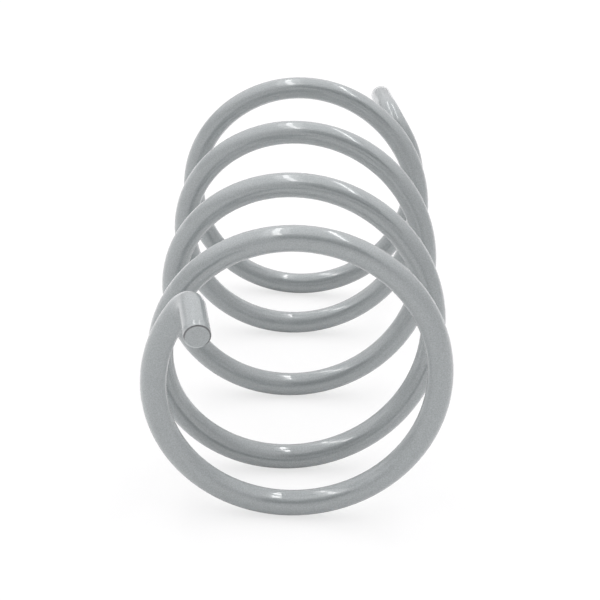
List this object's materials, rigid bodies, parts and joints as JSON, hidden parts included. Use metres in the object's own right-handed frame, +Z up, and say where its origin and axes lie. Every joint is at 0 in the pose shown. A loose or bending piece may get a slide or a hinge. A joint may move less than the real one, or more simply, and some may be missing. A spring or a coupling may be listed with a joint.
{
  "type": "clutch spring",
  "caption": "Left-hand wire coil spring with an open middle, tighter end turns and two short axial tangs that locate it in a clutch.",
  "frame": {"origin": "on the coil's axis, at half the overall length", "axes": "+Y along the coil's axis, from the front tang to the rear tang; +Z up with the spring lying on its side, the gap between its two ends at the top; +X to the right seen from the front"},
  "size_m": [0.0712, 0.1648, 0.071],
  "materials": {
    "silver_grey_paint": "gloss silver-grey coating with a fine metallic grain"
  },
  "bodies": {
    "root": {"coil_spring": "silver_grey_paint"}
  },
  "joints": []
}
